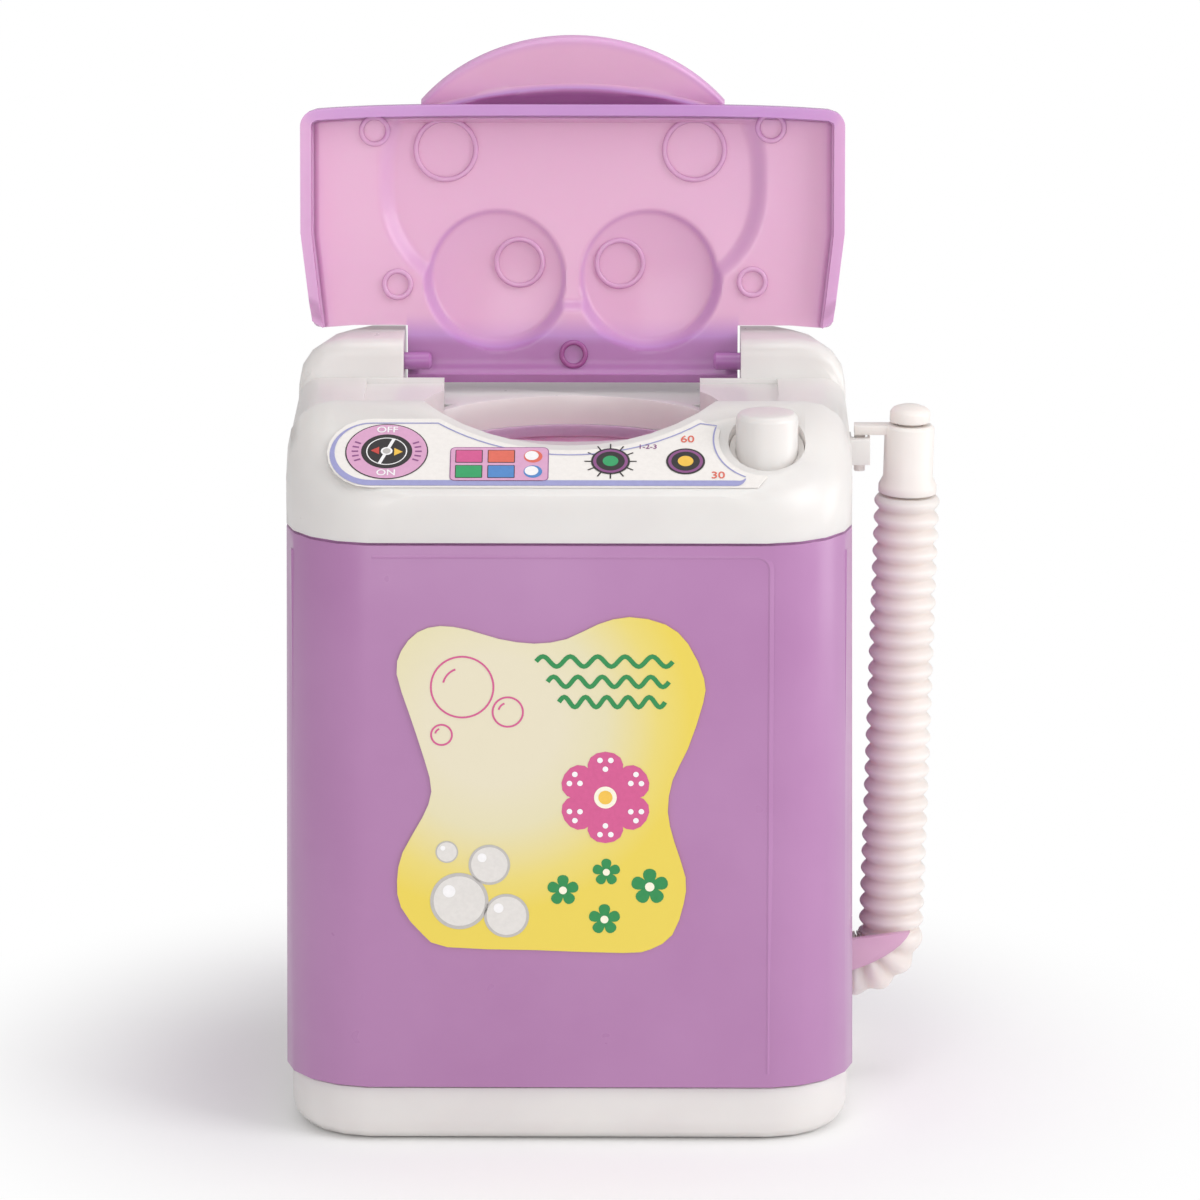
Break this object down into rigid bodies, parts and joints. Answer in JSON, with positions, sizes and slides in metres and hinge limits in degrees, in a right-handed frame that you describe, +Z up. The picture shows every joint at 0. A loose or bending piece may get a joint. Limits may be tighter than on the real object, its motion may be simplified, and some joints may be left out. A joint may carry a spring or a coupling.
{
  "type": "toy washing machine",
  "caption": "Battery toy washing machine with a lift-up lid over a round tub, a push button, a spinning pulsator and a corrugated drain hose at its side.",
  "frame": {"origin": "centre of the flat underside of the base, on the surface the toy stands on", "axes": "+Z up, +X to the right seen from the front, where the hose hangs, and the control panel faces -Y"},
  "size_m": [0.0704, 0.0518, 0.1124],
  "materials": {
    "purple_polystyrene": "moulded, smooth gloss, slightly clouded",
    "white_abs": "moulded, smooth gloss",
    "soft_white": "moulded, soft satin",
    "milky_hose": "blow moulded, milky satin",
    "lilac_clear": "moulded, see-through tinted gloss",
    "plated_steel": "bright plated",
    "brass_leaf": "rolled",
    "black_nylon": "moulded",
    "black_rubber": "moulded, dull",
    "black_lead": "extruded sleeve",
    "red_lead": "extruded sleeve",
    "cell_sleeve": "shrunk film sleeve",
    "printed_film": "printed glossy film",
    "printed_paper": "printed coated paper"
  },
  "bodies": {
    "body": {"housing": "purple_polystyrene", "top_cover": "white_abs", "inner_tub": "purple_polystyrene", "base_tray": "white_abs", "battery_door": "white_abs", "door_screw": "plated_steel", "base_screw_left": "plated_steel", "base_screw_right": "plated_steel", "bracket_screw_left": "plated_steel", "bracket_screw_right": "plated_steel", "motor_can": "plated_steel", "motor_end_cap": "black_nylon", "motor_bracket": "white_abs", "shaft_seal": "black_rubber", "battery_cell": "cell_sleeve", "contact_plate": "plated_steel", "contact_spring": "plated_steel", "switch_leaf_fixed": "brass_leaf", "switch_leaf_moving": "brass_leaf", "lead_cell_to_motor": "black_lead", "lead_cell_to_switch": "red_lead", "lead_switch_to_motor": "red_lead", "drain_elbow": "white_abs", "panel_label": "printed_film", "front_label": "printed_paper"},
    "lid": {"lid": "lilac_clear"},
    "button": {"push_button": "white_abs", "button_spring": "plated_steel"},
    "pulsator": {"pulsator": "white_abs", "motor_shaft": "plated_steel"},
    "hose": {"drain_hose": "milky_hose", "hose_sleeve": "soft_white"},
    "plug": {"hose_plug": "soft_white"}
  },
  "joints": [
    {"name": "lid_hinge", "type": "hinge", "parent": "body", "child": "lid", "pos_m": [0, 0.017, 0.0767], "axis": [1, 0, 0], "range_deg": [0, 98]},
    {"name": "button_press", "type": "slide", "parent": "body", "child": "button", "axis": [0, 0, -1], "range_m": [0, 0.0016], "stiffness_N_per_m": 400, "springref_m": -0.0008, "deforming": ["button_spring"]},
    {"name": "pulsator_spin", "type": "hinge", "parent": "body", "child": "pulsator", "pos_m": [0, 0.0005, 0.0425], "axis": [0, 0, 1], "continuous": true},
    {"name": "hose_swing", "type": "hinge", "parent": "body", "child": "hose", "pos_m": [0.031, 0.0005, 0.0126], "axis": [-1, 0, 0], "range_deg": [0, 95]},
    {"name": "plug_pull", "type": "slide", "parent": "hose", "child": "plug", "axis": [0.0266, 0, 0.9996], "range_m": [0, 0.008]}
  ]
}
